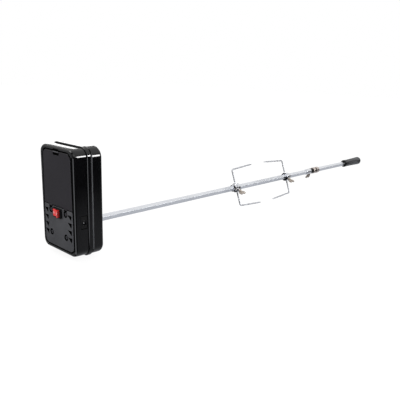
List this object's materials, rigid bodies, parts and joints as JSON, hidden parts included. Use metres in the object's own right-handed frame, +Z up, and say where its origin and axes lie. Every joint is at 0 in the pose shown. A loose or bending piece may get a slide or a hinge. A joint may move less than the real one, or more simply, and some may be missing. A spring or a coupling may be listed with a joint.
{
  "type": "rotisserie spit roaster",
  "caption": "Battery motor case with rocker switch and gear train driving a square chromed spit with sliding meat forks, wing screws, support bushing and handle.",
  "frame": {"origin": "on the spit axis at the back face of the motor case", "axes": "+Y along the spit away from the motor case, +Z up, +X to the right when facing the control panel"},
  "size_m": [0.096, 0.9542, 0.1644],
  "materials": {
    "case_black": "gloss",
    "panel_grey": "fine texture",
    "cover_charcoal": "satin",
    "inner_plastic": "matte",
    "switch_red": "gloss",
    "screw_black": "black oxide",
    "zinc_steel": "zinc plated",
    "ground_steel": "ground",
    "cell_jacket": "satin jacket",
    "contact_metal": "nickel plated",
    "brass": "cut",
    "ferrite": "dull",
    "white_nylon": "natural",
    "copper_winding": "enamelled",
    "bronze_bush": "sintered",
    "lead_red": "insulation",
    "lead_black": "insulation",
    "chrome_bar": "bright",
    "chrome_fork": "bright",
    "nickel": "nickel plated",
    "handle_black": "satin"
  },
  "bodies": {
    "motor_case": {"front_housing": "case_black", "seam_band": "case_black", "rear_housing": "case_black", "control_panel": "panel_grey", "panel_screws": "screw_black", "case_screws": "zinc_steel", "battery_tray": "inner_plastic", "battery_cells": "cell_jacket", "contact_bridge": "contact_metal", "contact_positive": "contact_metal", "contact_negative": "contact_metal", "switch_body": "inner_plastic", "switch_pivot": "ground_steel", "switch_terminals": "brass", "dc_jack": "inner_plastic", "dc_jack_pin": "brass", "gear_plate_front": "zinc_steel", "gear_plate_rear": "zinc_steel", "plate_pillars": "zinc_steel", "plate_screws": "zinc_steel", "gear_pins": "ground_steel", "motor_can": "zinc_steel", "motor_magnets": "ferrite", "motor_end_cap": "white_nylon", "motor_terminals": "brass", "motor_screws": "zinc_steel", "output_bush_front": "bronze_bush", "output_bush_rear": "bronze_bush", "lead_red": "lead_red", "lead_black": "lead_black"},
    "cover": {"battery_cover": "cover_charcoal"},
    "rocker": {"switch_rocker": "switch_red"},
    "motor_rotor": {"motor_shaft": "ground_steel", "motor_armature": "copper_winding", "motor_pinion": "brass"},
    "idler_1": {"gear_1": "white_nylon"},
    "idler_2": {"gear_2": "white_nylon"},
    "idler_3": {"gear_3": "brass"},
    "drive_socket": {"output_socket": "ground_steel", "output_gear": "brass"},
    "spit": {"spit_bar": "chrome_bar", "handle_grip": "handle_black"},
    "fork_1": {"fork_1_hub": "chrome_fork", "fork_1_prongs": "chrome_fork"},
    "fork_1_screw": {"fork_1_wing_screw": "nickel"},
    "fork_2": {"fork_2_hub": "chrome_fork", "fork_2_prongs": "chrome_fork"},
    "fork_2_screw": {"fork_2_wing_screw": "nickel"},
    "bushing": {"spit_bushing": "nickel"},
    "bushing_screw": {"bushing_wing_screw": "nickel"}
  },
  "joints": [
    {"name": "cover_hinge", "type": "hinge", "parent": "motor_case", "child": "cover", "pos_m": [0, -0.0472, 0.0307], "axis": [1, 0, 0], "range_deg": [0, 70]},
    {"name": "rocker_tilt", "type": "hinge", "parent": "motor_case", "child": "rocker", "pos_m": [0, -0.0472, 0.0225], "axis": [0, 0, 1], "range_deg": [0, 22]},
    {"name": "output_spin", "type": "hinge", "parent": "motor_case", "child": "drive_socket", "pos_m": [0, 0, 0], "axis": [0, 1, 0], "continuous": true},
    {"name": "gear_3_spin", "type": "hinge", "parent": "motor_case", "child": "idler_3", "pos_m": [-0.02114, -0.011, 0.0077], "axis": [0, 1, 0], "continuous": true},
    {"name": "gear_2_spin", "type": "hinge", "parent": "motor_case", "child": "idler_2", "pos_m": [-0.02394, -0.016, -0.00816], "axis": [0, 1, 0], "continuous": true},
    {"name": "gear_1_spin", "type": "hinge", "parent": "motor_case", "child": "idler_1", "pos_m": [-0.01333, -0.021, -0.01877], "axis": [0, 1, 0], "continuous": true},
    {"name": "motor_spin", "type": "hinge", "parent": "motor_case", "child": "motor_rotor", "pos_m": [-0.00102, -0.034, -0.0166], "axis": [0, 1, 0], "continuous": true},
    {"name": "spit_insert", "type": "slide", "parent": "drive_socket", "child": "spit", "axis": [0, 1, 0], "range_m": [0, 0.03]},
    {"name": "fork_1_slide", "type": "slide", "parent": "spit", "child": "fork_1", "axis": [0, 1, 0], "range_m": [-0.3, 0.015]},
    {"name": "fork_1_screw_turn", "type": "hinge", "parent": "fork_1", "child": "fork_1_screw", "pos_m": [0, 0.365, 0], "axis": [0.9135, 0, -0.4067], "range_deg": [0, 270]},
    {"name": "fork_2_slide", "type": "slide", "parent": "spit", "child": "fork_2", "axis": [0, 1, 0], "range_m": [-0.015, 0.04]},
    {"name": "fork_2_screw_turn", "type": "hinge", "parent": "fork_2", "child": "fork_2_screw", "pos_m": [0, 0.544, 0], "axis": [0.9135, 0, -0.4067], "range_deg": [0, 270]},
    {"name": "bushing_slide", "type": "slide", "parent": "spit", "child": "bushing", "axis": [0, 1, 0], "range_m": [-0.02, 0.09]},
    {"name": "bushing_screw_turn", "type": "hinge", "parent": "bushing", "child": "bushing_screw", "pos_m": [0, 0.652, 0], "axis": [-0.4067, 0, -0.9135], "range_deg": [0, 270]}
  ],
  "couplings": [
    {"joint": "gear_3_spin", "follows": "output_spin", "ratio": -4},
    {"joint": "gear_2_spin", "follows": "output_spin", "ratio": 14.4},
    {"joint": "gear_1_spin", "follows": "output_spin", "ratio": -57.6},
    {"joint": "motor_spin", "follows": "output_spin", "ratio": 230.4}
  ]
}
